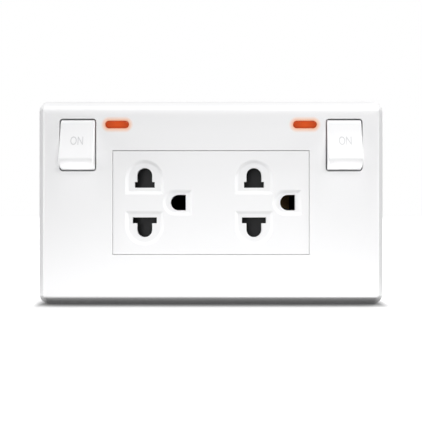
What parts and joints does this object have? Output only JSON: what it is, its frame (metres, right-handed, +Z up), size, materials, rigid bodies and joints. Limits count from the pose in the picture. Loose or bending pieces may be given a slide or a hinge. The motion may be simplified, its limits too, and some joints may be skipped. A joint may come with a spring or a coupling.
{
  "type": "switched double socket",
  "caption": "Bevelled white wall plate with shuttered earthed power outlets side by side, each with a rocker switch and an orange indicator lamp, for screwing to a wall box.",
  "frame": {"origin": "middle of the plate on the wall plane, halfway between the box screws", "axes": "+X to the right, +Y into the wall, +Z up; the front faces -Y"},
  "size_m": [0.124, 0.0325, 0.073],
  "materials": {
    "white_plastic": "satin moulded",
    "grey_plastic": "moulded",
    "black_plastic": "moulded",
    "brass": "stamped",
    "steel": "zinc plated",
    "silver": "silver alloy",
    "orange_lens": "clear, lit",
    "lamp_glass": "clear",
    "resistor": "lacquered"
  },
  "bodies": {
    "fixed_body": {"cover_plate": "white_plastic", "mounting_frame": "grey_plastic", "socket_face": "white_plastic", "shutter_retainer": "black_plastic", "shutter_spring_left": "steel", "shutter_spring_right": "steel", "rear_housing": "black_plastic", "body_screws": "steel", "line_bus": "brass", "live_clip_left": "brass", "live_clip_right": "brass", "neutral_bus": "brass", "earth_bus": "brass", "fixed_tips": "silver", "line_terminal": "brass", "neutral_terminal": "brass", "earth_terminal": "brass", "terminal_screws": "steel", "indicator_lens_left": "orange_lens", "indicator_lens_right": "orange_lens", "neon_lamp_left": "lamp_glass", "neon_lamp_right": "lamp_glass", "lamp_resistor_left": "resistor", "lamp_resistor_right": "resistor"},
    "rocker_left": {"rocker_left": "white_plastic", "plunger_spring_left": "steel"},
    "plunger_left": {"plunger_left": "black_plastic"},
    "seesaw_left": {"seesaw_left": "brass", "moving_tip_left": "silver"},
    "shutter_left": {"shutter_left": "black_plastic"},
    "rocker_right": {"rocker_right": "white_plastic", "plunger_spring_right": "steel"},
    "plunger_right": {"plunger_right": "black_plastic"},
    "seesaw_right": {"seesaw_right": "brass", "moving_tip_right": "silver"},
    "shutter_right": {"shutter_right": "black_plastic"}
  },
  "joints": [
    {"name": "rocker_left_tilt", "type": "hinge", "parent": "fixed_body", "child": "rocker_left", "pos_m": [-0.0466, -0.0054, 0.02015], "axis": [1, 0, 0], "range_deg": [0, 30]},
    {"name": "seesaw_left_tilt", "type": "hinge", "parent": "fixed_body", "child": "seesaw_left", "pos_m": [-0.0466, 0.0036, 0.02015], "axis": [1, 0, 0], "range_deg": [-18, 0]},
    {"name": "plunger_left_slide", "type": "slide", "parent": "rocker_left", "child": "plunger_left", "axis": [0, 0.9659, -0.2588], "range_m": [-0.0008, 0], "stiffness_N_per_m": 800, "springref_m": 0.001, "deforming": ["plunger_spring_left"]},
    {"name": "shutter_left_slide", "type": "slide", "parent": "fixed_body", "child": "shutter_left", "axis": [1, 0, 0], "range_m": [0, 0.0087], "stiffness_N_per_m": 60, "springref_m": -0.003, "deforming": ["shutter_spring_left"]},
    {"name": "rocker_right_tilt", "type": "hinge", "parent": "fixed_body", "child": "rocker_right", "pos_m": [0.0466, -0.0054, 0.02015], "axis": [1, 0, 0], "range_deg": [0, 30]},
    {"name": "seesaw_right_tilt", "type": "hinge", "parent": "fixed_body", "child": "seesaw_right", "pos_m": [0.0466, 0.0036, 0.02015], "axis": [1, 0, 0], "range_deg": [-18, 0]},
    {"name": "plunger_right_slide", "type": "slide", "parent": "rocker_right", "child": "plunger_right", "axis": [0, 0.9659, -0.2588], "range_m": [-0.0008, 0], "stiffness_N_per_m": 800, "springref_m": 0.001, "deforming": ["plunger_spring_right"]},
    {"name": "shutter_right_slide", "type": "slide", "parent": "fixed_body", "child": "shutter_right", "axis": [1, 0, 0], "range_m": [0, 0.0087], "stiffness_N_per_m": 60, "springref_m": -0.003, "deforming": ["shutter_spring_right"]}
  ],
  "couplings": [
    {"joint": "seesaw_left_tilt", "follows": "rocker_left_tilt", "ratio": -0.6},
    {"joint": "seesaw_right_tilt", "follows": "rocker_right_tilt", "ratio": -0.6}
  ]
}
